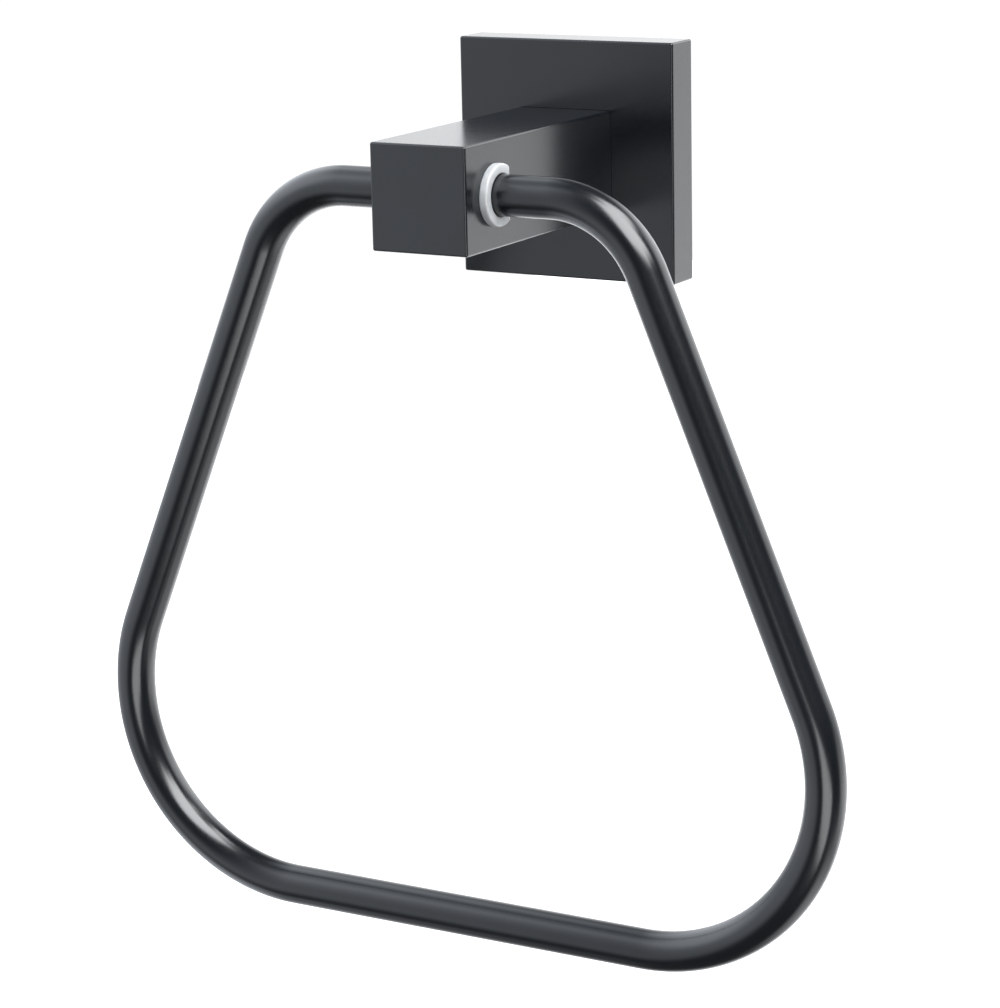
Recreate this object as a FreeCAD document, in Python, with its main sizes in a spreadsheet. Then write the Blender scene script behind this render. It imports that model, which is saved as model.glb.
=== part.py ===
import FreeCAD
import Part
import Sketcher

import math
import operator
import os
from types import SimpleNamespace

from FreeCAD import Vector

# A wall towel ring: a bent round bar that swings in a square post, which stands on a square base plate.
# The plate is a hollow casting that hooks over a bracket on the wall, and a set screw below locks it.
#
# Frame, in millimetres: the origin is the centre of the base plate's back, in the plane of the wall.
# +Z is up, +X is to the right as one faces the wall, and +Y points into the wall, so that everything
# stands out towards -Y.

# Driving dimensions in millimetres: name, size, and what it measures.
DIMENSIONS = [
    ("plate_side", 48.4, "width and height of the square base plate"),
    ("plate_depth", 8.4, "base plate from the wall to its front face"),
    ("plate_wall", 2.4, "thickness of the base plate's four sides"),
    ("plate_front", 2.8, "thickness of the base plate's front"),
    ("plate_edge", 0.45, "rounding of the base plate's outer edges"),
    ("plate_inner_round", 1.5, "rounding of the hollow's four corners"),
    ("post_side", 20.7, "width and height of the square post"),
    ("post_reach", 58.6, "post from the base plate's front face to its own"),
    ("post_edge", 0.45, "rounding of the post's edges"),
    ("post_seat", 1.0, "depth of the seat that the post stands in"),
    ("seat_clearance", 0.05, "gap round the post in its seat"),
    ("pivot_setback", 10.9, "ring's axis behind the post's front face"),
    ("bar_diameter", 8.0, "diameter of the ring's round bar"),
    ("bar_clearance", 0.08, "radial running clearance of the bar in a bush"),
    ("bar_end_gap", 5.2, "gap between the bar's two ends, inside the post"),
    ("upper_straight", 10.5, "straight bar from a bush to the upper bend"),
    ("upper_bend", 21.4, "centreline radius of the two upper bends"),
    ("lower_bend", 38.4, "centreline radius of the two lower bends"),
    ("lower_run", 80.0, "straight bottom run between the lower bends"),
    ("ring_drop", 146.0, "ring's axis down to the bottom run's centreline"),
    ("bush_wall", 0.9, "wall of a bush's sleeve"),
    ("bush_sleeve_length", 8.0, "a bush's sleeve, inside the post"),
    ("bush_clearance", 0.03, "gap round a bush's sleeve in the post"),
    ("bush_back", 2.9, "bush's flat open back, behind its axis"),
    ("flange_thickness", 1.6, "a bush's flange, outside the post"),
    ("flange_rim", 1.0, "flange standing out past the sleeve"),
    ("flange_bevel", 0.3, "chamfer on the flange's outer edge"),
    ("bracket_width", 36.0, "width of the wall bracket"),
    ("bracket_thickness", 4.6, "thickness of the wall bracket"),
    ("bracket_undercut", 1.7, "upper and lower edge leaning in at the wall"),
    ("bracket_corner", 3.0, "rounding of the bracket's four corners"),
    ("head_clearance", 1.25, "gap round the post screw's head in the bracket"),
    ("wall_screw_hole", 4.5, "diameter of a wall screw hole"),
    ("wall_screw_sink", 8.0, "diameter of its countersink"),
    ("sink_web", 1.5, "metal from a countersink to the hole for the head"),
    ("sink_rim", 1.5, "metal from a countersink to the bracket's edge"),
    ("ledge_width", 24.0, "width of the ledge that hooks on the bracket"),
    ("wall_gap", 0.4, "ledge and boss kept back from the wall"),
    ("boss_width", 9.0, "width of the set screw's boss"),
    ("lift_clearance", 2.2, "room under the bracket to lift the plate off it"),
    ("set_screw_diameter", 4.0, "set screw over its thread"),
    ("set_screw_off_wall", 3.0, "set screw's axis in front of the wall"),
    ("set_screw_sunk", 0.4, "set screw's end inside the plate's lower side"),
    ("set_screw_flat", 2.0, "diameter of the flat on the set screw's point"),
    ("set_screw_key", 2.0, "across the flats of the set screw's socket"),
    ("set_screw_key_depth", 2.4, "depth of that socket"),
    ("screw_diameter", 5.0, "post screw over its thread"),
    ("screw_length", 12.0, "post screw under its head"),
    ("screw_clearance", 0.25, "radial gap where it passes the base plate"),
    ("screw_head", 9.5, "diameter of the post screw's button head"),
    ("screw_head_height", 2.75, "height of that head"),
    ("screw_head_bevel", 1.4, "chamfer round that head"),
    ("screw_key", 3.0, "across the flats of the post screw's socket"),
    ("screw_key_depth", 1.6, "depth of that socket"),
    ("tapped_spare", 1.5, "post's tapped hole past the screw's end"),
    ("washer_thickness", 1.2, "spring washer, squeezed flat"),
    ("washer_width", 1.9, "radial width of the spring washer"),
    ("washer_clearance", 0.1, "radial gap of the screw in the spring washer"),
    ("washer_split", 0.5, "width of the spring washer's split"),
    ("washer_slant", 0.6, "sideways lean of that split through the washer"),
]

TINY = 0.001
OPERATIONS = {"+": operator.add, "-": operator.sub, "*": operator.mul, "/": operator.truediv}

doc = FreeCAD.newDocument("TowelRing")
sheet = doc.addObject("Spreadsheet::Sheet", "dims")


class Size:
    """A size worked out from the sheet: its formula, for binding, and what that comes to now."""

    def __init__(self, formula, amount):
        self.formula = formula
        self.amount = amount

    def __add__(self, other):
        return combined(self, "+", other)

    def __sub__(self, other):
        return combined(self, "-", other)

    def __mul__(self, other):
        return combined(self, "*", other)

    def __truediv__(self, other):
        return combined(self, "/", other)

    def __neg__(self):
        return combined(0, "-", self)


def as_size(number):
    """A plain number as a size, and a size as it is."""
    return number if isinstance(number, Size) else Size(f"{float(number)}", float(number))


def combined(left, sign, right):
    left, right = as_size(left), as_size(right)
    formula = f"({left.formula} {sign} {right.formula})"
    return Size(formula, OPERATIONS[sign](left.amount, right.amount))


def filled_sheet():
    """Writes every driving dimension to the sheet with its alias, and gives them back as sizes."""
    for row, (name, amount, note) in enumerate(DIMENSIONS, start=1):
        sheet.set(f"A{row}", note)
        sheet.set(f"B{row}", str(amount))
        sheet.setAlias(f"B{row}", name)
    doc.recompute()
    return SimpleNamespace(**{name: Size(f"dims.{name}", float(sheet.get(name))) for name, *_ in DIMENSIONS})


def bind(thing, **formulas):
    """Ties properties of an object to the sheet."""
    for name, wanted in formulas.items():
        thing.setExpression(name, as_size(wanted).formula)


def new_body(label, x=0, y=0, z=0, half_turned=False):
    """A body whose own origin stands at x, y, z, and which may be turned half round its upright axis."""
    body = doc.addObject("PartDesign::Body", label)
    body.Label = label
    turn = FreeCAD.Rotation(Vector(0, 0, 1), 180 if half_turned else 0)
    body.Placement = FreeCAD.Placement(Vector(0, 0, 0), turn)
    for path, place in (("x", x), ("y", y), ("z", z)):
        body.setExpression(f"Placement.Base.{path}", as_size(place).formula)
    return body


def new_sketch(body, name, plane, off=0):
    """A sketch on the body's XY, XZ or YZ plane, or off along that plane's normal: +Z, -Y or +X."""
    sketch = body.newObject("Sketcher::SketchObject", name)
    origin_plane = next(part for part in body.Origin.OriginFeatures if part.Role == f"{plane}_Plane")
    sketch.AttachmentSupport = (origin_plane, "")
    sketch.MapMode = "FlatFace"
    sketch.setExpression("AttachmentOffset.Base.z", as_size(off).formula)
    return sketch


def hold(sketch, kind, *where):
    """Adds a dimension to a sketch, the last of where being its size, and ties it to the sheet."""
    wanted = as_size(where[-1])
    index = sketch.addConstraint(Sketcher.Constraint(kind, *where[:-1], wanted.amount))
    sketch.setExpression(f"Constraints[{index}]", wanted.formula)


def outline(sketch, corners):
    """A closed outline of straight lines, each corner held at its two coordinates."""
    points = [Vector(as_size(across).amount, as_size(up).amount, 0) for across, up in corners]
    for index, point in enumerate(points):
        sketch.addGeometry(Part.LineSegment(point, points[(index + 1) % len(points)]), False)
    for index, (across, up) in enumerate(corners):
        before = (index - 1) % len(corners)
        sketch.addConstraint(Sketcher.Constraint("Coincident", before, 2, index, 1))
        hold(sketch, "DistanceX", index, 1, across)
        hold(sketch, "DistanceY", index, 1, up)


def square(sketch, side):
    half = side / 2
    outline(sketch, [(-half, -half), (half, -half), (half, half), (-half, half)])


def hexagon(sketch, across_flats):
    """A hexagonal socket: its corners lie at the flats' half distance over the cosine of 30 degrees."""
    corner = across_flats / (2 * math.cos(math.radians(30)))
    turns = [math.radians(60 * step) for step in range(6)]
    outline(sketch, [(corner * math.cos(turn), corner * math.sin(turn)) for turn in turns])


def circle(sketch, diameter, across=0, up=0):
    """A circle held by its centre and its diameter."""
    middle = Vector(as_size(across).amount, as_size(up).amount, 0)
    index = sketch.addGeometry(Part.Circle(middle, Vector(0, 0, 1), as_size(diameter).amount / 2), False)
    hold(sketch, "DistanceX", index, 3, across)
    hold(sketch, "DistanceY", index, 3, up)
    hold(sketch, "Diameter", index, diameter)


def pad(body, sketch, length, both_ways=False, backwards=False):
    """Raises a sketch along its normal, against it, or half each way."""
    feature = body.newObject("PartDesign::Pad", f"{sketch.Name}_pad")
    feature.Profile = sketch
    feature.SideType = "Symmetric" if both_ways else "One side"
    feature.Reversed = backwards
    bind(feature, Length=length)
    doc.recompute()


def check_cut(body, feature, before):
    """Stops the build if a cut has taken nothing away."""
    doc.recompute()
    if body.Shape.Volume > before - TINY:
        raise RuntimeError(f"{body.Label}: {feature.Name} cuts nothing")


def pocket(body, sketch, depth=None, along_normal=False, both_ways=False):
    """Cuts a sketch against its normal, or along it, to a depth or all the way through."""
    before = body.Shape.Volume
    feature = body.newObject("PartDesign::Pocket", f"{sketch.Name}_cut")
    feature.Profile = sketch
    feature.SideType = "Symmetric" if both_ways else "One side"
    feature.Reversed = along_normal
    if depth is None:
        feature.Type = "ThroughAll"
    else:
        bind(feature, Length=depth)
    check_cut(body, feature, before)


def revolve(body, sketch, axis, cutting=False):
    """Turns a sketch all the way round its own H_Axis or V_Axis, to add or to cut."""
    before = body.Shape.Volume if cutting else 0
    kind = "Groove" if cutting else "Revolution"
    feature = body.newObject(f"PartDesign::{kind}", f"{sketch.Name}_turned")
    feature.Profile = sketch
    feature.ReferenceAxis = (sketch, [axis])
    feature.Angle = 360
    if cutting:
        check_cut(body, feature, before)
    doc.recompute()


def dress(body, kind, edge_wanted, **sizes):
    """Adds a Fillet or a Chamfer on the edges of the body that edge_wanted accepts."""
    base = body.Tip
    edges = [(number, edge) for number, edge in enumerate(base.Shape.Edges, 1) if not edge.Degenerated]
    names = [f"Edge{number}" for number, edge in edges if edge_wanted(edge)]
    if not names:
        raise RuntimeError(f"{body.Label}: no edge for a {kind}")
    feature = body.newObject(f"PartDesign::{kind}", f"{body.Label}_{kind}")
    feature.Base = (base, names)
    bind(feature, **sizes)
    doc.recompute()


def is_along(edge, axis):
    """Whether an edge is a straight line along X, Y or Z."""
    return edge.Curve.TypeId == "Part::GeomLine" and abs(abs(edge.Curve.Direction.dot(axis)) - 1) < TINY


def is_circle(edge, diameter):
    """Whether an edge is a circle of that diameter."""
    round_edge = edge.Curve.TypeId == "Part::GeomCircle"
    return round_edge and abs(2 * edge.Curve.Radius - diameter.amount) < TINY


dim = filled_sheet()

# Sizes that follow from the driving ones.
hollow_side = dim.plate_side - dim.plate_wall * 2
hollow_depth = dim.plate_depth - dim.plate_front
post_back = dim.plate_depth - dim.post_seat
post_length = dim.post_reach + dim.post_seat
pivot_reach = dim.plate_depth + dim.post_reach - dim.pivot_setback
bush_bore = dim.bar_diameter + dim.bar_clearance * 2
sleeve_diameter = bush_bore + dim.bush_wall * 2
flange_diameter = sleeve_diameter + dim.flange_rim * 2
head_way = dim.screw_head + dim.head_clearance * 2
wall_screw_spacing = head_way + dim.wall_screw_sink + dim.sink_web * 2
bracket_half = (wall_screw_spacing + dim.wall_screw_sink) / 2 + dim.sink_rim
bracket_back_half = bracket_half - dim.bracket_undercut
boss_top = dim.lift_clearance + bracket_half
undercut_slope = dim.bracket_undercut / dim.bracket_thickness
set_screw_start = dim.plate_side / 2 - dim.set_screw_sunk


def base_plate():
    """Cast cover, open at the back: seat and screw hole in front, ledge above, tapped boss below."""
    body = new_body("base_plate")
    face = new_sketch(body, "plate_face", "XZ")
    square(face, dim.plate_side)
    pad(body, face, dim.plate_depth)
    dress(body, "Fillet", lambda edge: edge.BoundBox.YMin < -TINY, Radius=dim.plate_edge)

    hollow = new_sketch(body, "plate_hollow", "XZ")
    square(hollow, hollow_side)
    pocket(body, hollow, hollow_depth, along_normal=True)
    inner = hollow_side.amount / 2
    dress(
        body,
        "Fillet",
        lambda edge: is_along(edge, Vector(0, 1, 0)) and abs(abs(edge.BoundBox.XMin) - inner) < TINY,
        Radius=dim.plate_inner_round,
    )

    seat = new_sketch(body, "plate_seat", "XZ", off=dim.plate_depth)
    seat_side = dim.post_side + dim.seat_clearance * 2
    square(seat, seat_side)
    pocket(body, seat, dim.post_seat)
    seat_corner = seat_side.amount / 2
    dress(
        body,
        "Fillet",
        lambda edge: is_along(edge, Vector(0, 1, 0)) and abs(abs(edge.BoundBox.XMin) - seat_corner) < TINY,
        Radius=dim.post_edge + dim.seat_clearance,
    )

    screw_way = new_sketch(body, "plate_screw_way", "XZ", off=dim.plate_depth)
    circle(screw_way, dim.screw_diameter + dim.screw_clearance * 2)
    pocket(body, screw_way, dim.plate_front)

    # The ledge leans like the bracket's upper edge and rests on it.
    ledge = new_sketch(body, "plate_ledge", "YZ")
    outline(
        ledge,
        [
            (-dim.wall_gap, hollow_side / 2),
            (-dim.wall_gap, bracket_back_half + undercut_slope * dim.wall_gap),
            (-dim.bracket_thickness, bracket_half),
            (-dim.bracket_thickness, hollow_side / 2),
        ],
    )
    pad(body, ledge, dim.ledge_width, both_ways=True)

    boss = new_sketch(body, "plate_boss", "YZ")
    outline(
        boss,
        [
            (-dim.wall_gap, -hollow_side / 2),
            (-dim.wall_gap, -boss_top),
            (-hollow_depth, -boss_top),
            (-hollow_depth, -hollow_side / 2),
        ],
    )
    pad(body, boss, dim.boss_width, both_ways=True)

    tapped = new_sketch(body, "plate_tapped", "XY", off=-dim.plate_side / 2)
    circle(tapped, dim.set_screw_diameter, up=-dim.set_screw_off_wall)
    pocket(body, tapped, dim.plate_side / 2 - boss_top, along_normal=True)
    return body


def wall_bracket():
    """Bracket screwed to the wall: leaning upper and lower edges, two countersunk holes, one way through."""
    body = new_body("wall_bracket")
    side = new_sketch(body, "bracket_side", "YZ")
    front = -dim.bracket_thickness
    outline(
        side,
        [(0, -bracket_back_half), (0, bracket_back_half), (front, bracket_half), (front, -bracket_half)],
    )
    pad(body, side, dim.bracket_width, both_ways=True)
    through = dim.bracket_thickness.amount
    dress(
        body,
        "Fillet",
        lambda edge: edge.BoundBox.XLength < TINY and edge.BoundBox.YLength > through - TINY,
        Radius=dim.bracket_corner,
    )

    middle = new_sketch(body, "bracket_head_way", "XZ")
    circle(middle, head_way)
    pocket(body, middle, along_normal=True)

    screws = new_sketch(body, "bracket_screw_holes", "XZ")
    for half in (wall_screw_spacing / 2, -wall_screw_spacing / 2):
        circle(screws, dim.wall_screw_hole, up=half)
    pocket(body, screws, along_normal=True)
    dress(
        body,
        "Chamfer",
        lambda edge: is_circle(edge, dim.wall_screw_hole) and edge.BoundBox.YMax < -TINY,
        Size=(dim.wall_screw_sink - dim.wall_screw_hole) / 2,
    )
    return body


def post():
    """Square bar from its seat in the base plate: cross bore for the bushes, tapped hole in its back."""
    body = new_body("post", y=-post_back)
    section = new_sketch(body, "post_section", "XZ")
    square(section, dim.post_side)
    pad(body, section, post_length)
    dress(body, "Fillet", lambda edge: edge.BoundBox.YMin < -TINY, Radius=dim.post_edge)

    cross_bore = new_sketch(body, "post_cross_bore", "YZ")
    circle(cross_bore, sleeve_diameter + dim.bush_clearance * 2, across=dim.pivot_setback - post_length)
    pocket(body, cross_bore, both_ways=True)

    # The screw reaches into the post by its length less the washer and the plate's front under the seat.
    depth = dim.screw_length - dim.washer_thickness - dim.plate_front + dim.post_seat + dim.tapped_spare
    radius = dim.screw_diameter / 2
    tapped = new_sketch(body, "post_tapped_hole", "YZ")
    outline(tapped, [(0, 0), (0, radius), (-depth, radius), (-depth, 0)])
    revolve(body, tapped, "H_Axis", cutting=True)
    return body


def post_screw():
    """Button-head screw from inside the base plate into the post, its own origin under the head."""
    body = new_body("post_screw", y=dim.washer_thickness - hollow_depth)
    head = dim.screw_head / 2
    shank = dim.screw_diameter / 2
    profile = new_sketch(body, "screw_profile", "YZ")
    outline(
        profile,
        [
            (dim.screw_head_height, 0),
            (dim.screw_head_height, head),
            (0, head),
            (0, shank),
            (-dim.screw_length, shank),
            (-dim.screw_length, 0),
        ],
    )
    revolve(body, profile, "H_Axis")
    dress(
        body,
        "Chamfer",
        lambda edge: is_circle(edge, dim.screw_head) and edge.BoundBox.YMin > TINY,
        Size=dim.screw_head_bevel,
    )
    socket = new_sketch(body, "screw_socket", "XZ", off=-dim.screw_head_height)
    hexagon(socket, dim.screw_key)
    pocket(body, socket, dim.screw_key_depth, along_normal=True)
    return body


def spring_washer():
    """Split washer under the post screw's head, squeezed flat, with a leaning split above the screw."""
    body = new_body("spring_washer", y=-hollow_depth)
    inner = dim.screw_diameter + dim.washer_clearance * 2
    ring_face = new_sketch(body, "washer_face", "XZ")
    circle(ring_face, inner)
    circle(ring_face, inner + dim.washer_width * 2)
    pad(body, ring_face, dim.washer_thickness, backwards=True)

    half = dim.washer_split / 2
    lean = dim.washer_slant / 2
    split = new_sketch(body, "washer_split", "XY")
    outline(
        split,
        [
            (-half - lean, 0),
            (half - lean, 0),
            (half + lean, dim.washer_thickness),
            (lean - half, dim.washer_thickness),
        ],
    )
    pocket(body, split, along_normal=True)
    return body


def set_screw():
    """Socket set screw up through the base plate's boss, its point against the bracket's lower edge."""
    body = new_body("set_screw", y=-dim.set_screw_off_wall, z=-set_screw_start)
    radius = dim.set_screw_diameter / 2
    flat = dim.set_screw_flat / 2
    # The point touches the leaning edge where its flat reaches furthest from the wall.
    touch = undercut_slope * (dim.bracket_thickness - dim.set_screw_off_wall - flat)
    length = set_screw_start - bracket_half + touch
    profile = new_sketch(body, "set_screw_profile", "XZ")
    outline(profile, [(0, 0), (radius, 0), (radius, length - radius + flat), (flat, length), (0, length)])
    revolve(body, profile, "V_Axis")
    socket = new_sketch(body, "set_screw_socket", "XY")
    hexagon(socket, dim.set_screw_key)
    pocket(body, socket, dim.set_screw_key_depth, along_normal=True)
    return body


def bush(label, on_right):
    """Flanged bush in one side of the post, its own +X pointing out of the post.

    It is open at the back, where a flat cut leaves a mouth narrower than the bar, so that it snaps over
    the bar and is pushed along it into the post.
    """
    half_post = dim.post_side / 2
    place = half_post if on_right else -half_post
    body = new_body(label, x=place, y=-pivot_reach, half_turned=not on_right)
    profile = new_sketch(body, f"{label}_profile", "XZ")
    outline(
        profile,
        [
            (-dim.bush_sleeve_length, bush_bore / 2),
            (-dim.bush_sleeve_length, sleeve_diameter / 2),
            (0, sleeve_diameter / 2),
            (0, flange_diameter / 2),
            (dim.flange_thickness, flange_diameter / 2),
            (dim.flange_thickness, bush_bore / 2),
        ],
    )
    revolve(body, profile, "H_Axis")
    dress(
        body,
        "Chamfer",
        lambda edge: is_circle(edge, flange_diameter) and edge.BoundBox.XMin > TINY,
        Size=dim.flange_bevel,
    )

    # A body that is turned half round has the wall on its own -Y side.
    toward_wall = 1 if on_right else -1
    radius = flange_diameter / 2
    mouth = new_sketch(body, f"{label}_mouth", "YZ")
    outline(
        mouth,
        [
            (dim.bush_back * toward_wall, -radius),
            (radius * toward_wall, -radius),
            (radius * toward_wall, radius),
            (dim.bush_back * toward_wall, radius),
        ],
    )
    pocket(body, mouth, both_ways=True)
    return body


def ring_path(sketch):
    """The bar's centreline: five straight runs joined by four tangent bends, alike on both sides.

    Each leaning side is the line that touches an upper and a lower bend from outside. Its lean is the
    slope between the two bends' centres, and what the lower bend's larger radius adds to that.
    """
    end = dim.bar_end_gap / 2
    upper_x = dim.post_side / 2 + dim.flange_thickness + dim.upper_straight
    lower_x = dim.lower_run / 2
    upper = Vector(upper_x.amount, -dim.upper_bend.amount, 0)
    lower = Vector(lower_x.amount, dim.lower_bend.amount - dim.ring_drop.amount, 0)
    between = lower - upper
    lean = math.atan2(between.x, -between.y)
    lean += math.asin((dim.lower_bend.amount - dim.upper_bend.amount) / between.Length)
    outwards = Vector(math.cos(lean), math.sin(lean), 0)
    side_top = upper + outwards * dim.upper_bend.amount
    side_foot = lower + outwards * dim.lower_bend.amount
    up = Vector(0, 0, 1)

    def mirrored(point):
        return Vector(-point.x, point.y, 0)

    def bend(middle, radius, start, stop):
        return Part.ArcOfCircle(Part.Circle(middle, up, radius.amount), start, stop)

    quarter = math.pi / 2
    start = Vector(end.amount, 0, 0)
    bend_top = Vector(upper.x, 0, 0)
    run_end = Vector(lower.x, -dim.ring_drop.amount, 0)
    pieces = [
        Part.LineSegment(start, bend_top),
        bend(upper, dim.upper_bend, lean, quarter),
        Part.LineSegment(side_top, side_foot),
        bend(lower, dim.lower_bend, -quarter, lean),
        Part.LineSegment(run_end, mirrored(run_end)),
        bend(mirrored(lower), dim.lower_bend, 2 * quarter - lean, 3 * quarter),
        Part.LineSegment(mirrored(side_foot), mirrored(side_top)),
        bend(mirrored(upper), dim.upper_bend, quarter, 2 * quarter - lean),
        Part.LineSegment(mirrored(bend_top), mirrored(start)),
    ]
    sketch.addGeometry(pieces, False)

    # Each joint names the ends that meet: 1 is a piece's start and 2 its end, arcs running anticlockwise.
    joints = [(0, 2, 1, 2), (1, 1, 2, 1), (2, 2, 3, 2), (3, 1, 4, 1)]
    joints += [(4, 2, 5, 2), (5, 1, 6, 1), (6, 2, 7, 2), (7, 1, 8, 1)]
    for joint in joints:
        sketch.addConstraint(Sketcher.Constraint("Tangent", *joint))
    for level in (0, 4, 8):
        sketch.addConstraint(Sketcher.Constraint("Horizontal", level))
    for piece, point, across in ((0, 1, end), (8, 2, -end)):
        hold(sketch, "DistanceX", piece, point, across)
        hold(sketch, "DistanceY", piece, point, 0)
    hold(sketch, "DistanceY", 4, 1, -dim.ring_drop)
    for piece, radius, across in (
        (1, dim.upper_bend, upper_x),
        (3, dim.lower_bend, lower_x),
        (5, dim.lower_bend, -lower_x),
        (7, dim.upper_bend, -upper_x),
    ):
        hold(sketch, "Radius", piece, radius)
        hold(sketch, "DistanceX", piece, 3, across)


def ring():
    """One round bar bent to a tapered loop, its own origin in the middle of the axis it swings about."""
    body = new_body("ring", y=-pivot_reach)
    path = new_sketch(body, "ring_path", "XZ")
    ring_path(path)
    section = new_sketch(body, "ring_section", "YZ", off=dim.bar_end_gap / 2)
    circle(section, dim.bar_diameter)
    doc.recompute()
    bar = body.newObject("PartDesign::AdditivePipe", "ring_bar")
    bar.Profile = section
    bar.Spine = path
    doc.recompute()
    return body


def export(pieces):
    """Checks the document and each piece, then writes one file for each."""
    doc.recompute()
    failed = [thing.Name for thing in doc.Objects if {"Invalid", "Error"} & set(thing.State)]
    if failed:
        raise RuntimeError(f"failed objects: {failed}")
    os.makedirs("parts", exist_ok=True)
    for body in pieces:
        shape = body.Shape
        if shape.isNull() or not shape.isValid() or len(shape.Solids) != 1:
            raise RuntimeError(f"{body.Label} isn't one valid solid")
        shape.exportStep(f"parts/{body.Label}.step")
        print(f"{body.Label}: {shape.Volume:.1f} cubic millimetres, {len(shape.Faces)} faces")


export(
    [
        base_plate(),
        wall_bracket(),
        set_screw(),
        post(),
        post_screw(),
        spring_washer(),
        bush("bush_left", on_right=False),
        bush("bush_right", on_right=True),
        ring(),
    ]
)
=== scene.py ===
from math import asin, atan2, cos, hypot, pi, radians, sin

import bpy
import numpy as np
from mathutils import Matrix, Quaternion, Vector


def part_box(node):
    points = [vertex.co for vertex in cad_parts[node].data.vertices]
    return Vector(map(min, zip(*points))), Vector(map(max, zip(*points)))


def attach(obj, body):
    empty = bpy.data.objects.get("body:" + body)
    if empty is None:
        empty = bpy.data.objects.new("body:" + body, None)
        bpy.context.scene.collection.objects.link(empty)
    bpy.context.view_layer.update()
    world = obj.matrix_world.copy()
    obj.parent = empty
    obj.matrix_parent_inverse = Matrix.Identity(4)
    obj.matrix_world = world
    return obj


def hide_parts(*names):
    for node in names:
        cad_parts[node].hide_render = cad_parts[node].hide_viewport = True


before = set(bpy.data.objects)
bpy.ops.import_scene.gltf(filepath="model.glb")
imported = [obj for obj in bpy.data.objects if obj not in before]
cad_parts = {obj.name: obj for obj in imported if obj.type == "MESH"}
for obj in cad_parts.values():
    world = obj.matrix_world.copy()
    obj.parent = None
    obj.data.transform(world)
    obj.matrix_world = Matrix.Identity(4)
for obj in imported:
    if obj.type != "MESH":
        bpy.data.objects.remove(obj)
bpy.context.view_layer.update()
print("frame loaded:", ", ".join(sorted(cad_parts)))

# A satin black towel ring: a round bar bent to a loop, carried in two white bushes by a square post.
# Sizes are in millimetres here and become metres when a mesh is made. The origin is the middle of the
# base plate's back, +X is to the right, +Z is up and -Y comes out of the wall.
mm = 0.001


def nodeBox(node):
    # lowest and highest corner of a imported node, in millimetres
    low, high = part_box(node)
    return np.array(low) / mm, np.array(high) / mm


def gridFaces(rows, columns):
    # quads of a grid of points, as indices into the flattened grid; each row closes on itself
    i, j = np.meshgrid(np.arange(rows - 1), np.arange(columns), indexing="ij")
    nextJ = (j + 1) % columns
    corners = (i * columns + j, i * columns + nextJ, (i + 1) * columns + nextJ, (i + 1) * columns + j)
    return np.stack(corners, -1).reshape(-1, 4)


def fan(ring, pole):
    # triangles from a closed ring of point indices to one pole
    return np.stack([ring, np.roll(ring, -1), np.full(len(ring), pole)], -1)


def meshObject(name, points, faces, sharpAngle=40):
    mesh = bpy.data.meshes.new(name)
    mesh.from_pydata((points * mm).tolist(), [], faces)
    mesh.validate()
    mesh.polygons.foreach_set("use_smooth", np.ones(len(mesh.polygons), bool))
    mesh.set_sharp_from_angle(angle=radians(sharpAngle))
    mesh.update()
    made = bpy.data.objects.new(name, mesh)
    bpy.context.scene.collection.objects.link(made)
    return made


def turnedMesh(name, grid, sharpAngle=40):
    # A closed form from a grid of points: each row is a ring round the form, and the first and last rows
    # are poles, where the ring has shrunk to one point. Along each end ring, the fan to the pole runs
    # against the faces of the grid, so that all faces point outwards.
    rows, columns = grid.shape[:2]
    body = grid[1:-1].reshape(-1, 3)
    points = np.vstack([body, grid[:1, 0], grid[-1:, 0]])
    firstRing = np.arange(columns)
    lastRing = firstRing + (rows - 3) * columns
    faces = gridFaces(rows - 2, columns).tolist()
    faces += fan(firstRing[::-1], len(body)).tolist()
    faces += fan(lastRing, len(body) + 1).tolist()
    return meshObject(name, points, faces, sharpAngle)


def roundedOutline(corners, roundings, steps):
    # A closed outline through the corners, each turned by an arc: the arc touches both sides at
    # r / tan(a / 2) from the corner, where a is the angle between them, and its centre is r / sin(a / 2)
    # away. Its points are the two end arms mixed by sin((1 - share) * sweep) and sin(share * sweep).
    corners = np.array(corners, float)
    made = []
    for k, radius in enumerate(roundings):
        corner = corners[k]
        if radius == 0:
            made.append(corner[None])
            continue
        before, after = corners[k - 1] - corner, corners[(k + 1) % len(corners)] - corner
        before, after = before / np.linalg.norm(before), after / np.linalg.norm(after)
        half = np.arccos(np.clip(before @ after, -1, 1)) / 2
        middle = before + after
        centre = corner + middle / np.linalg.norm(middle) * radius / sin(half)
        start = corner + before * radius / np.tan(half) - centre
        end = corner + after * radius / np.tan(half) - centre
        sweep = pi - 2 * half
        share = np.linspace(0, 1, steps + 1)[:, None]
        arms = start * np.sin((1 - share) * sweep) + end * np.sin(share * sweep)
        made.append(centre + arms / sin(sweep))
    return np.vstack(made)


noiseMiddle = (0.3, 0.7)  # the part of the noise's range that a finish is spread over


def newMaterial(name):
    material = bpy.data.materials.new(name)
    material.use_nodes = True
    nodes = material.node_tree.nodes
    nodes.clear()
    output = nodes.new("ShaderNodeOutputMaterial")
    shader = nodes.new("ShaderNodeBsdfPrincipled")
    material.node_tree.links.new(shader.outputs["BSDF"], output.inputs["Surface"])
    place = nodes.new("ShaderNodeTexCoord")
    return material, shader, place.outputs["Object"]


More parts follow.
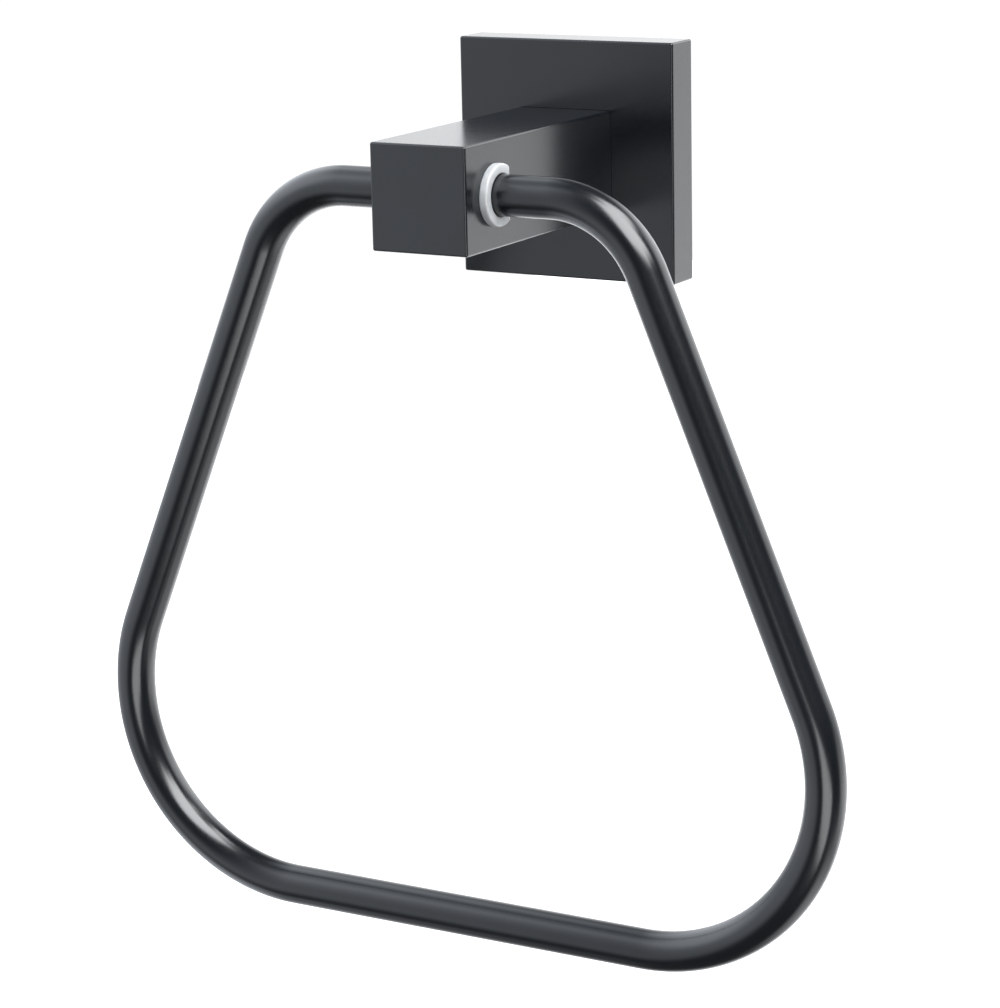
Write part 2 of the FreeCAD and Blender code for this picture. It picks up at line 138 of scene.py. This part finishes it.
def noise(material, place, grain, detail=3, roughness=0.5, stretch=None):
    # noise with features about grain millimetres across, on the object's own place in space
    nodes, links = material.node_tree.nodes, material.node_tree.links
    if stretch:
        mapping = nodes.new("ShaderNodeMapping")
        mapping.inputs["Scale"].default_value = stretch
        links.new(place, mapping.inputs["Vector"])
        place = mapping.outputs["Vector"]
    texture = nodes.new("ShaderNodeTexNoise")
    texture.inputs["Scale"].default_value = 1 / (grain * mm)
    texture.inputs["Detail"].default_value = detail
    texture.inputs["Roughness"].default_value = roughness
    links.new(place, texture.inputs["Vector"])
    return texture.outputs["Fac"]


def ranged(material, value, low, high):
    # a number that runs from low to high with the noise
    nodes, links = material.node_tree.nodes, material.node_tree.links
    spread = nodes.new("ShaderNodeMapRange")
    spread.inputs["From Min"].default_value = noiseMiddle[0]
    spread.inputs["From Max"].default_value = noiseMiddle[1]
    spread.inputs["To Min"].default_value = low
    spread.inputs["To Max"].default_value = high
    links.new(value, spread.inputs["Value"])
    return spread.outputs["Result"]


def tinted(material, value, dark, light):
    # a colour that runs from dark to light with the noise
    nodes, links = material.node_tree.nodes, material.node_tree.links
    ramp = nodes.new("ShaderNodeValToRGB")
    for stop, position, colour in zip(ramp.color_ramp.elements, noiseMiddle, (dark, light)):
        stop.position = position
        stop.color = (*colour, 1)
    links.new(value, ramp.inputs["Fac"])
    return ramp.outputs["Color"]


def bumped(material, shader, height, depth):
    # the noise as a relief of so many millimetres
    nodes, links = material.node_tree.nodes, material.node_tree.links
    bump = nodes.new("ShaderNodeBump")
    bump.inputs["Strength"].default_value = 1
    bump.inputs["Distance"].default_value = depth * mm
    links.new(height, bump.inputs["Height"])
    links.new(bump.outputs["Normal"], shader.inputs["Normal"])


satinBlack = {
    "dark": (0.0018, 0.0027, 0.0042),
    "light": (0.0030, 0.0042, 0.0062),
    "patch": 9.0,  # slow drift of the coat's colour
    "grain": 0.55,  # the sprayed coat's fine pebble
    "grainDepth": 0.0004,
    "roughness": (0.20, 0.23),
    "specular": 0.78,
    "refraction": 1.5,
}


def satinBlackCoat():
    material, shader, place = newMaterial("satinBlackCoat")
    links = material.node_tree.links
    patch = noise(material, place, satinBlack["patch"])
    grain = noise(material, place, satinBlack["grain"], detail=2)
    colour = tinted(material, patch, satinBlack["dark"], satinBlack["light"])
    links.new(colour, shader.inputs["Base Color"])
    links.new(ranged(material, grain, *satinBlack["roughness"]), shader.inputs["Roughness"])
    shader.inputs["Specular IOR Level"].default_value = satinBlack["specular"]
    shader.inputs["IOR"].default_value = satinBlack["refraction"]
    bumped(material, shader, grain, satinBlack["grainDepth"])
    return material


whiteNylon = {
    "dark": (0.39, 0.40, 0.41),
    "light": (0.45, 0.46, 0.47),
    "patch": 1.6,
    "grain": 0.18,
    "grainDepth": 0.004,
    "roughness": (0.38, 0.50),
    "refraction": 1.53,
    "shareOfLight": 0.8,  # how much of the light goes into the nylon and comes out again
    "depthOfLight": 1.5,
    "depthByColour": (1.0, 0.9, 0.8),
}


def whiteNylonMoulding():
    material, shader, place = newMaterial("whiteNylonMoulding")
    links = material.node_tree.links
    patch = noise(material, place, whiteNylon["patch"])
    grain = noise(material, place, whiteNylon["grain"])
    colour = tinted(material, patch, whiteNylon["dark"], whiteNylon["light"])
    links.new(colour, shader.inputs["Base Color"])
    links.new(ranged(material, grain, *whiteNylon["roughness"]), shader.inputs["Roughness"])
    shader.inputs["IOR"].default_value = whiteNylon["refraction"]
    shader.inputs["Subsurface Weight"].default_value = whiteNylon["shareOfLight"]
    shader.inputs["Subsurface Radius"].default_value = whiteNylon["depthByColour"]
    shader.inputs["Subsurface Scale"].default_value = whiteNylon["depthOfLight"] * mm
    bumped(material, shader, grain, whiteNylon["grainDepth"])
    return material


platedSteel = {
    "dark": (0.34, 0.35, 0.37),
    "light": (0.46, 0.47, 0.48),
    "patch": 3.5,
    "grain": 0.35,
    "grainDepth": 0.0025,
    "roughness": (0.30, 0.44),
}


def platedSteelFinish():
    material, shader, place = newMaterial("platedSteelFinish")
    links = material.node_tree.links
    patch = noise(material, place, platedSteel["patch"], detail=5, roughness=0.6)
    grain = noise(material, place, platedSteel["grain"])
    colour = tinted(material, patch, platedSteel["dark"], platedSteel["light"])
    links.new(colour, shader.inputs["Base Color"])
    links.new(ranged(material, patch, *platedSteel["roughness"]), shader.inputs["Roughness"])
    shader.inputs["Metallic"].default_value = 1.0
    bumped(material, shader, grain, platedSteel["grainDepth"])
    return material


brightSteel = {
    "dark": (0.54, 0.54, 0.55),
    "light": (0.70, 0.70, 0.70),
    "line": 0.12,  # turned lines round the screw, whose axis is upright
    "lineStretch": (0.15, 0.15, 1.0),
    "lineDepth": 0.002,
    "roughness": (0.18, 0.32),
}


def brightSteelFinish():
    material, shader, place = newMaterial("brightSteelFinish")
    links = material.node_tree.links
    lines = noise(material, place, brightSteel["line"], stretch=brightSteel["lineStretch"])
    colour = tinted(material, lines, brightSteel["dark"], brightSteel["light"])
    links.new(colour, shader.inputs["Base Color"])
    links.new(ranged(material, lines, *brightSteel["roughness"]), shader.inputs["Roughness"])
    shader.inputs["Metallic"].default_value = 1.0
    bumped(material, shader, lines, brightSteel["lineDepth"])
    return material


finishes = {
    "satin_black": satinBlackCoat(),
    "white_nylon": whiteNylonMoulding(),
    "zinc_steel": platedSteelFinish(),
    "bright_steel": brightSteelFinish(),
}
print("finishes made:", ", ".join(finishes))


def placed(piece, node, body, slot):
    # the new piece stands for the node, moves with its body and takes its finish
    piece.data.materials.append(finishes[slot])
    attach(piece, body)
    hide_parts(node)


bar = {
    "radius": 3.985,  # a hair inside the solid's 4
    "axisOut": 56.1,  # the hinge axis in front of the wall
    "endGap": 5.2,  # between the bar's two ends, inside the post
    "endChamfer": 0.4,
    "upperStart": 22.45,  # where the upper bend begins, from the middle
    "upperBend": 21.4,
    "lowerBend": 38.4,
    "lowerStart": 40.0,  # where the bottom run ends, from the middle
    "drop": 146.0,  # from the hinge axis down to the bottom run
    "around": 80,  # points round the bar, and below along each stretch of it
    "steps": {"stub": 8, "upperBend": 46, "side": 24, "lowerBend": 70, "bottom": 16},
}


def halfLoop():
    # The right half of the bar's centreline as (x, z): level out of the bush, an arc down, a straight
    # leaning side, a wider arc and the level bottom run. The side touches both arcs, so its lean is the
    # direction between their centres turned by the angle whose sine is the radii's difference over their
    # distance.
    upper = np.array([bar["upperStart"], -bar["upperBend"]])
    lower = np.array([bar["lowerStart"], bar["lowerBend"] - bar["drop"]])
    between = lower - upper
    lean = atan2(between[0], -between[1]) + asin((bar["lowerBend"] - bar["upperBend"]) / hypot(*between))

    def arc(centre, radius, start, end, steps):
        angle = np.linspace(start, end, steps)
        return centre + radius * np.stack([np.cos(angle), np.sin(angle)], -1)

    steps = bar["steps"]
    upperArc = arc(upper, bar["upperBend"], pi / 2, lean, steps["upperBend"])
    lowerArc = arc(lower, bar["lowerBend"], lean, -pi / 2, steps["lowerBend"])
    stubX = np.linspace(bar["endGap"] / 2 + bar["endChamfer"], bar["upperStart"], steps["stub"])[:-1]
    stub = np.stack([stubX, np.zeros(len(stubX))], -1)
    share = np.linspace(0, 1, steps["side"])[1:-1, None]
    side = upperArc[-1] * (1 - share) + lowerArc[0] * share
    bottomX = np.linspace(bar["lowerStart"], 0, steps["bottom"])[1:]
    bottom = np.stack([bottomX, np.full(len(bottomX), -bar["drop"])], -1)
    return np.vstack([stub, upperArc, side, lowerArc, bottom])


def ringBar():
    # A circle carried along the loop: centre + radius * (cos a * across + sin a * forward), where across
    # is the loop's own normal in its plane. The ends shrink by the chamfer to a flat and then a pole.
    right = halfLoop()
    left = right[-2::-1] * (-1, 1)
    line = np.vstack([right, left])
    along = np.gradient(line, axis=0)
    along /= np.linalg.norm(along, axis=1)[:, None]
    chamfer = bar["endChamfer"]
    step = np.array([chamfer, 0])
    line = np.vstack([line[:1] - step, line[:1] - step, line, line[-1:] + step, line[-1:] + step])
    along = np.vstack([along[:1], along[:1], along, along[-1:], along[-1:]])
    radius = np.full(len(line), bar["radius"])
    radius[[0, -1]] = 0
    radius[[1, -2]] -= chamfer
    angle = np.linspace(0, 2 * pi, bar["around"], endpoint=False)
    across = np.stack([-along[:, 1], along[:, 0]], -1)
    x = line[:, :1] + radius[:, None] * np.cos(angle) * across[:, :1]
    z = line[:, 1:] + radius[:, None] * np.cos(angle) * across[:, 1:]
    y = -bar["axisOut"] - radius[:, None] * np.sin(angle)
    return turnedMesh("ringBar", np.stack([x, y, z], -1))


placed(ringBar(), "ring", "ring", "satin_black")
print("ring bar bent")


bush = {
    "bore": 4.08,
    "sleeve": 4.98,
    "flange": 5.98,
    "sleeveLength": 8.0,
    "flangeThickness": 1.6,
    "back": 2.9,  # the flat open back, behind the axis
    "sleeveEdge": 0.2,  # roundings of the edges, first at the sleeve's far end
    "seatEdge": 0.1,  # where the flange lies on the post
    "flangeEdge": 0.35,
    "boreEdge": 0.3,
    "cutEdge": 0.12,  # round both cut ends
    "cutAngle": 60,  # degrees: only edges at least this sharp are cut ends
    "cutSteps": 2,
    "edgeSteps": 5,
    "around": 96,
}


def bushMoulding(name, side):
    # The flanged section turned round the bar's axis. At radius r it starts and ends where r * cos(a) is
    # the flat back, so that both cut ends lie in one plane: a runs from acos(back / r) round to minus it.
    face = nodeBox("post")[1][0]
    corners = [
        (-bush["sleeveLength"], bush["bore"]),
        (-bush["sleeveLength"], bush["sleeve"]),
        (0, bush["sleeve"]),
        (0, bush["flange"]),
        (bush["flangeThickness"], bush["flange"]),
        (bush["flangeThickness"], bush["bore"]),
    ]
    roundings = [
        bush["sleeveEdge"],
        bush["sleeveEdge"],
        0,
        bush["seatEdge"],
        bush["flangeEdge"],
        bush["boreEdge"],
    ]
    section = roundedOutline(corners, roundings, bush["edgeSteps"])
    radius = section[:, 1]
    start = np.arccos(bush["back"] / radius)
    turn = start + np.linspace(0, 1, bush["around"])[:, None] * (2 * pi - 2 * start)
    x = side * (face + np.broadcast_to(section[:, 0], turn.shape))
    y = -bar["axisOut"] + radius * np.cos(turn)
    z = radius * np.sin(turn)
    points = np.stack([x, y, z], -1)
    rows, columns = points.shape[:2]
    faces = gridFaces(rows, columns).tolist()
    first = list(range(columns))
    last = [(rows - 1) * columns + j for j in range(columns)]
    faces += [first[::-1], last]
    if side > 0:
        faces = [f[::-1] for f in faces]
    made = meshObject(name, points.reshape(-1, 3), faces)
    edge = made.modifiers.new("cutEdge", "BEVEL")
    edge.width = bush["cutEdge"] * mm
    edge.segments = bush["cutSteps"]
    edge.limit_method = "ANGLE"
    edge.angle_limit = radians(bush["cutAngle"])
    return made


placed(bushMoulding("bushRight", 1), "bush_right", "mount", "white_nylon")
placed(bushMoulding("bushLeft", -1), "bush_left", "mount", "white_nylon")
print("bushes moulded")


def hexagonReach(angle, radius):
    # distance from the middle to a hexagon's side in the direction of angle: radius is half the width
    # across flats, divided by the cosine of the angle from the nearest flat's middle
    return radius / np.cos((angle + pi / 6) % (pi / 3) - pi / 6)


thread = {
    "slope": 1.5,  # how steep the flanks are
    "crest": 0.3,  # taken off the wave, which leaves flat crests
    "runOut": 0.5,  # turns at the end, where the start has one whole turn
    "turnSteps": 12,
}


def screwGrid(stations, threads, pitch, around):
    # Each station is (distance along the screw, radius, 1 for a hexagon or 0 for round). From start to end,
    # the radius drops by depth times a wave of (distance / pitch - angle / full turn), with flat crests and
    # roots and a run-out at both ends.
    angle = np.linspace(0, 2 * pi, around, endpoint=False)
    stations = np.array(stations, float)
    along, radius, isHex = (stations[:, k][:, None] for k in range(3))
    start, end, depth = threads
    wave = np.abs(2 * ((along / pitch - angle / (2 * pi)) % 1) - 1)
    root = np.clip(wave * thread["slope"] - thread["crest"], 0, 1)
    fadeIn = np.clip((along - start) / pitch, 0, 1)
    fade = fadeIn * np.clip((end - along) / (thread["runOut"] * pitch), 0, 1)
    rounded = radius - depth * root * fade
    rho = np.where(isHex > 0, hexagonReach(angle, radius), rounded)
    return np.broadcast_to(along, rho.shape), rho, angle


def threadStations(start, end, radius, turns):
    # round stations along a thread of so many turns
    steps = int(round(turns * thread["turnSteps"])) + 1
    return [(along, radius, 0) for along in np.linspace(start, end, steps)]


postScrew = {
    "shank": 2.5,
    "length": 12.0,
    "tip": 0.6,
    "head": 4.75,
    "headHeight": 2.75,
    "headFlat": 2.35,
    "rim": 0.35,  # height of the head's straight rim below the crown
    "rimEdge": 0.1,
    "key": 3.0,
    "keyDepth": 1.6,
    "keyPoint": 0.5,  # the cone at the socket's bottom
    "keyMouth": (0.2, 0.25),  # depth and width of the socket's chamfer
    "pitch": 0.8,
    "threadDepth": 0.45,
    "neck": 1.2,  # plain stretch under the head
    "crownSteps": 14,
    "around": 60,
}


def postScrewTurned():
    # A button head with a rounded crown, a hexagon socket and a threaded shank. Distance runs from the
    # head's top, towards -Y. The crown is a quarter of an ellipse: rise * (1 - cos a) down and
    # headFlat + spread * sin a out.
    p = postScrew
    key, underHead = p["key"] / 2, p["headHeight"]
    mouthDepth, mouthWidth = p["keyMouth"]
    stations = [(p["keyDepth"] + p["keyPoint"], 0, 0), (p["keyDepth"], key, 1), (mouthDepth, key, 1)]
    stations += [(0, key + mouthWidth, 0), (0, p["headFlat"], 0)]
    rise, spread = underHead - p["rim"], p["head"] - p["headFlat"]
    crown = np.linspace(0, pi / 2, p["crownSteps"])
    stations += [(rise * (1 - cos(a)), p["headFlat"] + spread * sin(a), 0) for a in crown[1:]]
    stations += [(underHead - p["rimEdge"], p["head"], 0), (underHead, p["head"] - p["rimEdge"], 0)]
    start, end = underHead + p["neck"], underHead + p["length"] - p["tip"]
    stations += [(underHead, p["shank"], 0)]
    stations += threadStations(start, end, p["shank"], (end - start) / p["pitch"])
    stations += [(underHead + p["length"], p["shank"] - p["tip"], 0), (underHead + p["length"], 0, 0)]
    along, rho, angle = screwGrid(stations, (start, end, p["threadDepth"]), p["pitch"], p["around"])
    high = nodeBox("post_screw")[1][1]
    points = np.stack([rho * np.cos(angle), high - along, rho * np.sin(angle)], -1)
    return turnedMesh("postScrewTurned", points, sharpAngle=35)


placed(postScrewTurned(), "post_screw", "mount", "zinc_steel")

setScrew = {
    "radius": 2.0,
    "key": 2.0,
    "keyDepth": 2.4,
    "keyPoint": 0.4,
    "keyMouth": (0.15, 0.2),
    "endChamfer": (0.3, 0.35),  # length and height of the chamfer round the socket's end
    "flat": 1.0,
    "pitch": 0.7,
    "threadDepth": 0.38,
    "axisOut": 3.0,
    "around": 54,
}


def setScrewTurned():
    # A headless screw: a hexagon socket below, thread all along, and a cone with a flat end on top.
    p = setScrew
    low, high = nodeBox("set_screw")
    length = high[2] - low[2]
    cone = length - (p["radius"] - p["flat"])
    key = p["key"] / 2
    mouthDepth, mouthWidth = p["keyMouth"]
    chamferLength, chamferHeight = p["endChamfer"]
    stations = [(p["keyDepth"] + p["keyPoint"], 0, 0), (p["keyDepth"], key, 1), (mouthDepth, key, 1)]
    stations += [(0, key + mouthWidth, 0), (0, p["radius"] - chamferHeight, 0)]
    stations += threadStations(chamferLength, cone, p["radius"], cone / p["pitch"])
    stations += [(length, p["flat"], 0), (length, 0, 0)]
    threads = (0, cone + chamferLength, p["threadDepth"])
    along, rho, angle = screwGrid(stations, threads, p["pitch"], p["around"])
    points = np.stack([rho * np.cos(angle), rho * np.sin(angle) - p["axisOut"], low[2] + along], -1)
    return turnedMesh("setScrewTurned", points, sharpAngle=35)


placed(setScrewTurned(), "set_screw", "mount", "bright_steel")
print("screws turned")

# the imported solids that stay
for node, finish in (
    ("base_plate", "satin_black"),
    ("post", "satin_black"),
    ("wall_bracket", "zinc_steel"),
    ("spring_washer", "zinc_steel"),
):
    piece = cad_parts[node]
    piece.material_slots[0].material = finishes[finish]

# A sheet of pale paper, low and behind the object. Its places are in metres.
floor = {
    "height": -0.45,
    "half": 1.2,
    "front": 0.4,
    "back": 2.3,
    "grey": 0.6,
    "drift": 0.01,  # how far the grey wanders either way
    "patch": 40.0,
    "roughness": 0.9,
    "specular": 0.1,
    "glow": 0.5,
}


def paleFloor():
    half, front, back, z = (floor[k] for k in ("half", "front", "back", "height"))
    corners = [(-half, front, z), (half, front, z), (half, back, z), (-half, back, z)]
    mesh = bpy.data.meshes.new("paleFloor")
    mesh.from_pydata(corners, [], [(0, 1, 2, 3)])
    made = bpy.data.objects.new("paleFloor", mesh)
    bpy.context.scene.collection.objects.link(made)
    material, shader, place = newMaterial("palePaper")
    patch = noise(material, place, floor["patch"])
    dark, light = (floor["grey"] - floor["drift"],) * 3, (floor["grey"] + floor["drift"],) * 3
    material.node_tree.links.new(tinted(material, patch, dark, light), shader.inputs["Base Color"])
    shader.inputs["Roughness"].default_value = floor["roughness"]
    shader.inputs["Specular IOR Level"].default_value = floor["specular"]
    shader.inputs["Emission Color"].default_value = (1, 1, 1, 1)
    shader.inputs["Emission Strength"].default_value = floor["glow"]
    mesh.materials.append(material)


paleFloor()

# Soft light, each given by the direction it comes from: azimuth 0 is straight out of the wall and 90 to
# the right, elevation is above the horizon, in degrees. The low box is in metres. A panel reaches half to
# either side of its azimuth and from low to high, and its edges fade over soft either way.
studio = {
    "aim": (0, -0.05, -0.05),
    "distance": 3.0,
    "lowBox": {"azimuth": 33, "elevation": -22, "roll": -29, "wide": 2.3, "high": 1.5, "radiance": 3.4},
    "tints": {"cool": (0.94, 1.0, 1.08), "plain": (0.985, 1.0, 1.02)},
    "panels": {
        "key": {
            "azimuth": 41, "half": 24, "low": 27, "high": 77, "soft": 5, "glow": 8.9, "tint": "plain",
        },
        "keyMiddle": {
            "azimuth": 78, "half": 13, "low": 34, "high": 81, "soft": 6, "glow": 9.2, "tint": "plain",
        },
        "keyRight": {
            "azimuth": 117, "half": 26, "low": 54, "high": 83, "soft": 7, "glow": 8.2, "tint": "plain",
        },
        "left": {
            "azimuth": -79, "half": 57, "low": -30, "high": 66, "soft": 14, "glow": 0.9, "tint": "cool",
        },
        "leftUpper": {
            "azimuth": -91, "half": 49, "low": 13, "high": 52, "soft": 13, "glow": 1.35, "tint": "cool",
        },
        "leftFloor": {
            "azimuth": -93, "half": 32, "low": -54, "high": -34, "soft": 14, "glow": 1.7, "tint": "cool",
        },
        "behind": {
            "azimuth": 194, "half": 29, "low": -56, "high": 21, "soft": 25, "glow": 2.15, "tint": "plain",
        },
        "rightUpper": {
            "azimuth": 149, "half": 27, "low": 8, "high": 40, "soft": 16, "glow": 2.75, "tint": "plain",
        },
        "rightLower": {
            "azimuth": 136, "half": 28, "low": -34, "high": -1, "soft": 10, "glow": 1.35, "tint": "plain",
        },
        "rightFloor": {
            "azimuth": 120, "half": 39, "low": -75, "high": -38, "soft": 22, "glow": 1.45, "tint": "plain",
        },
    },
    "everywhere": 0.1,
    "backdrop": 1.05,
}


def directionOf(azimuth, elevation):
    a, e = radians(azimuth), radians(elevation)
    return Vector((sin(a) * cos(e), -cos(a) * cos(e), sin(e)))


def lowBox():
    spec = studio["lowBox"]
    light = bpy.data.lights.new("lowBox", "AREA")
    light.shape = "RECTANGLE"
    light.size, light.size_y = spec["wide"], spec["high"]
    light.energy = spec["radiance"] * pi * spec["wide"] * spec["high"]
    light.color = studio["tints"]["plain"]
    made = bpy.data.objects.new("lowBox", light)
    way = directionOf(spec["azimuth"], spec["elevation"])
    made.location = Vector(studio["aim"]) + way * studio["distance"]
    rolled = Quaternion((0, 0, 1), radians(spec["roll"]))
    made.rotation_euler = (way.to_track_quat("Z", "Y") @ rolled).to_euler()
    made.visible_camera = False
    bpy.context.scene.collection.objects.link(made)


def studioPanels():
    # Soft light panels and pale walls as a glow on the sky: glow times a smooth step down at half from the
    # azimuth, times one up at low and one down at high. The camera itself sees an even white backdrop.
    world = bpy.data.worlds.new("studioPanels")
    bpy.context.scene.world = world
    world.use_nodes = True
    nodes, links = world.node_tree.nodes, world.node_tree.links
    nodes.clear()
    place = nodes.new("ShaderNodeTexCoord").outputs["Generated"]

    def mathNode(operation, first, second=None):
        node = nodes.new("ShaderNodeMath")
        node.operation = operation
        for socket, value in zip(node.inputs, (first, second)):
            if isinstance(value, (int, float)):
                socket.default_value = value
            elif value is not None:
                links.new(value, socket)
        return node.outputs["Value"]

    def faded(angle, edge, soft, rising):
        node = nodes.new("ShaderNodeMapRange")
        node.interpolation_type = "SMOOTHSTEP"
        node.inputs["From Min"].default_value = radians(edge - soft)
        node.inputs["From Max"].default_value = radians(edge + soft)
        node.inputs["To Min"].default_value = 0 if rising else 1
        node.inputs["To Max"].default_value = 1 if rising else 0
        links.new(angle, node.inputs["Value"])
        return node.outputs["Result"]

    def coloured(tint, strength, below):
        # the tint times the strength, added to what lies below
        scaled = nodes.new("ShaderNodeVectorMath")
        scaled.operation = "SCALE"
        scaled.inputs[0].default_value = tint
        links.new(strength, scaled.inputs["Scale"])
        added = nodes.new("ShaderNodeVectorMath")
        added.operation = "ADD"
        links.new(scaled.outputs["Vector"], added.inputs[0])
        if below:
            links.new(below, added.inputs[1])
        else:
            added.inputs[1].default_value = (studio["everywhere"],) * 3
        return added.outputs["Vector"]

    total = None
    for panel in studio["panels"].values():
        turned = nodes.new("ShaderNodeVectorRotate")
        turned.rotation_type = "Z_AXIS"
        turned.inputs["Angle"].default_value = -radians(panel["azimuth"])
        links.new(place, turned.inputs["Vector"])
        axes = nodes.new("ShaderNodeSeparateXYZ")
        links.new(turned.outputs["Vector"], axes.inputs["Vector"])
        outwards = mathNode("MULTIPLY", axes.outputs["Y"], -1)
        sideways = mathNode("ABSOLUTE", mathNode("ARCTAN2", axes.outputs["X"], outwards))
        upwards = mathNode("ARCSINE", axes.outputs["Z"])
        glow = mathNode("MULTIPLY", faded(sideways, panel["half"], panel["soft"], False), panel["glow"])
        glow = mathNode("MULTIPLY", glow, faded(upwards, panel["low"], panel["soft"], True))
        glow = mathNode("MULTIPLY", glow, faded(upwards, panel["high"], panel["soft"], False))
        total = coloured(studio["tints"][panel["tint"]], glow, total)
    glowing = nodes.new("ShaderNodeBackground")
    links.new(total, glowing.inputs["Color"])
    plain = nodes.new("ShaderNodeBackground")
    plain.inputs["Color"].default_value = (1, 1, 1, 1)
    plain.inputs["Strength"].default_value = studio["backdrop"]
    seen = nodes.new("ShaderNodeLightPath")
    mix = nodes.new("ShaderNodeMixShader")
    links.new(seen.outputs["Is Camera Ray"], mix.inputs["Fac"])
    links.new(glowing.outputs["Background"], mix.inputs[1])
    links.new(plain.outputs["Background"], mix.inputs[2])
    links.new(mix.outputs["Shader"], nodes.new("ShaderNodeOutputWorld").inputs["Surface"])


lowBox()
studioPanels()
bpy.context.scene.view_settings.view_transform = "Standard"

# The place, turn and lens that lay the model's edges on the photo's.
camera = {
    "place": (0.303052, -0.572601, 0.086607),  # metres
    "turn": (76.1328, 1.1841, 29.2726),  # degrees about X, Y and Z
    "lens": 113.397,
    "sensor": 36,
    "clip": (0.01, 20),
}


def photoCamera():
    data = bpy.data.cameras.new("photoCamera")
    data.lens = camera["lens"]
    data.sensor_width = camera["sensor"]
    data.clip_start, data.clip_end = camera["clip"]
    made = bpy.data.objects.new("photoCamera", data)
    made.location = camera["place"]
    made.rotation_euler = [radians(a) for a in camera["turn"]]
    bpy.context.scene.collection.objects.link(made)
    bpy.context.scene.camera = made


photoCamera()
print("light, floor and camera set")
